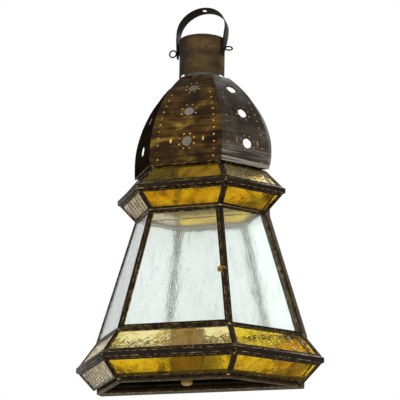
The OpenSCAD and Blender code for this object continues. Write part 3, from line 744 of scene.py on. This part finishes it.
def dome_sheet(node, s, mat):
    lo_z, hi_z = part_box(node)[0].z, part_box(node)[1].z
    m = DEPTH_RATIO if s == 0 else SIDE_V
    out, along = side_axes(s)
    lo_u, hi_u = side_span(s)
    holes, marks = dome_marks(s)
    step = 0.75
    rows = int(arc_len(hi_z) / step)
    cols = int((hi_u - lo_u) * dome_r(lo_z) / MM / step)
    grid, verts, flat = {}, [], []
    a0, a1 = arc_angle(lo_z), arc_angle(hi_z)
    shrink = 0.0003
    for j in range(rows + 1):
        a = a0 + (a1 - a0) * j / rows
        z = ARC_Z + ARC_R * math.sin(a)
        r = dome_r(z)
        w = arc_len(z)
        lift = Vector((out.x * math.cos(a), out.y * math.cos(a), math.sin(a)))
        for i in range(cols + 1):
            t = i / cols
            u = ((lo_u * r + shrink) * (1 - t) + (hi_u * r - shrink) * t) / MM
            uu, ww = on_hole_rims(u, w, holes, step)
            h = surface_at(uu, ww, s, holes, marks)
            aa = a0 + ww * MM / ARC_R
            zz = ARC_Z + ARC_R * math.sin(aa)
            base = out * (m * dome_r(zz)) + along * (uu * MM)
            p = Vector((base.x, base.y + wall_y, zz)) + lift * ((h - SHEET_IN) * MM)
            p.y = min(p.y, wall_y - 0.00003)
            grid[i, j] = len(verts)
            verts.append(p)
            flat.append((uu, ww))
    faces = []
    for j in range(rows):
        for i in range(cols):
            quad = (grid[i, j], grid[i + 1, j], grid[i + 1, j + 1], grid[i, j + 1])
            cu = sum(flat[q][0] for q in quad) / 4
            cw = sum(flat[q][1] for q in quad) / 4
            if any(math.hypot(cu - hu, cw - hw) < HOLE_R - 0.12 * step for hu, hw in holes):
                continue
            faces.append(quad)
    if s != 0:
        add_tail(s, grid, verts, faces, cols if s == 1 else 0, rows)
    bm = bmesh.new()
    made = [bm.verts.new(v) for v in verts]
    for quad in faces:
        face = bm.faces.new([made[q] for q in quad])
        at = [flat[q] for q in quad if q < len(flat)]
        if len(at) == 4:
            cu, cw = sum(a[0] for a in at) / 4, sum(a[1] for a in at) / 4
            face.material_index = 1 if any(on_mark_top(cu - mu, cw - mw, kind)
                                           for mu, mw, kind in marks) else 0
    loose = [v for v in bm.verts if not v.link_faces]
    bmesh.ops.delete(bm, geom=loose, context="VERTS")
    mesh = bpy.data.meshes.new(node + "_punched")
    bm.to_mesh(mesh)
    bm.free()
    # the outside, the painted highlight on its marks (the left sheet, in painted shade, keeps its own
    # colour there), the inside of both, and the cut edges
    mats = [mat, ("punch", "punch_highlight_dim", mat)[s], "strap_grey", "strap_grey", "came"]
    obj = place(node + "_punched", mesh, mats, "lantern", "antique_sheet", [node])
    sol = obj.modifiers.new("thickness", "SOLIDIFY")
    sol.thickness = SHEET_T
    sol.offset = -1.0
    sol.material_offset = 2
    sol.material_offset_rim = 4
    apply_modifiers(obj)
    smooth(obj.data, 40.0)


dome_sheet("dome_front", 0, "sheet_front")
dome_sheet("dome_right", 1, "sheet_right_painted_reflection")
dome_sheet("dome_left", -1, "sheet_left_painted_shade")


# ---------------------------------------------------------------- solder blobs where cames meet
def blob(name, at, size, seed):
    """A lumpy bead of solder; size is in millimetres."""
    bm = bmesh.new()
    bmesh.ops.create_icosphere(bm, subdivisions=3, radius=1.0)
    for v in bm.verts:
        wob = 1 + 0.35 * noise.noise(v.co * 1.3 + Vector((seed, 0, 0)))
        v.co = Vector((v.co.x * size[0], v.co.y * size[1], v.co.z * size[2])) * wob * MM + at
    mesh = bpy.data.meshes.new(name)
    bm.to_mesh(mesh)
    bm.free()
    smooth(mesh, 80.0)
    place(name, mesh, ["solder"], "lantern", "bright_brass")


def middle_level(node):
    """Height of a ridge strip and its half width."""
    lo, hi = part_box(node)
    return 0.5 * (lo.z + hi.z), 0.5 * (hi.x - lo.x)


BEAD = (2.3, 1.9, 1.5)
BEAD_IN = 0.0028
rim_lo, rim_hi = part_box("base_rim")
door_lo, door_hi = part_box("door_surround")
levels = [
    (rim_hi.z + 0.0005, 0.5 * (rim_hi.x - rim_lo.x) * 1.02),
    middle_level("ridge_lower"),
    (door_lo.z - 0.0002, 0.1283),
    (door_hi.z + 0.0004, 0.0826),
    middle_level("ridge_upper"),
    (DOME_BASE - 0.0002, 0.0815),
]
for k, (z, r) in enumerate(levels):
    for x_sign, side in ((-1, "l"), (1, "r")):
        inset = r - BEAD_IN
        at = Vector((x_sign * FRONT_RATIO * inset, wall_y - DEPTH_RATIO * inset, z))
        blob("solder_blob_%d_%s" % (k, side), at, BEAD, k * 2.3 + x_sign)


# ---------------------------------------------------------------- stage, light
def floor_sheet(name, size, z):
    """A plain pale floor."""
    mesh = bpy.data.meshes.new(name)
    mesh.from_pydata([(-size, -size, z), (size, -size, z), (size, size, z), (-size, size, z)], [],
                     [(0, 1, 2, 3)])
    t = Tree(name)
    tone = t.noise(t.mapped(PLAIN), 3.0)
    mesh.materials.append(t.finish(t.shader(
        Base_Color=t.ramp(tone, [(0.3, (0.80, 0.80, 0.79, 1)), (0.7, (0.84, 0.84, 0.83, 1))]),
        Roughness=0.8)))
    obj = bpy.data.objects.new(name, mesh)
    scene.collection.objects.link(obj)


floor_sheet("floor", 6.0, -0.75)


def world(seen=1.0, lit=0.85):
    """White surroundings, a little brighter to the camera than to the lantern."""
    w = bpy.data.worlds.new("studio")
    w.use_nodes = True
    nt = w.node_tree
    nt.nodes.clear()
    out = nt.nodes.new("ShaderNodeOutputWorld")
    path = nt.nodes.new("ShaderNodeLightPath")
    mixed = nt.nodes.new("ShaderNodeMixShader")
    nt.links.new(path.outputs["Is Camera Ray"], mixed.inputs[0])
    for socket, strength in ((mixed.inputs[1], lit), (mixed.inputs[2], seen)):
        ground = nt.nodes.new("ShaderNodeBackground")
        ground.inputs["Color"].default_value = (1, 1, 1, 1)
        ground.inputs["Strength"].default_value = strength
        nt.links.new(ground.outputs[0], socket)
    nt.links.new(mixed.outputs[0], out.inputs[0])
    scene.world = w


world()


def area(name, place_at, target, size, power, colour=(1, 1, 1)):
    """A soft lamp that points at a target."""
    lamp = bpy.data.lights.new(name, "AREA")
    lamp.shape = "RECTANGLE"
    lamp.size, lamp.size_y = size
    lamp.energy = power
    lamp.color = colour
    obj = bpy.data.objects.new(name, lamp)
    obj.location = place_at
    obj.rotation_euler = (Vector(target) - Vector(place_at)).to_track_quat("-Z", "Y").to_euler()
    scene.collection.objects.link(obj)


area("key", (1.4, -1.8, 1.3), (0, 0, 0.25), (0.9, 0.9), 22, (1.0, 0.97, 0.92))
area("fill", (-1.6, -1.2, 0.4), (0, 0, 0.25), (0.8, 1.2), 8, (0.95, 0.98, 1.0))
area("top_back", (0.2, 1.4, 1.5), (0, 0, 0.3), (1.2, 0.8), 14)
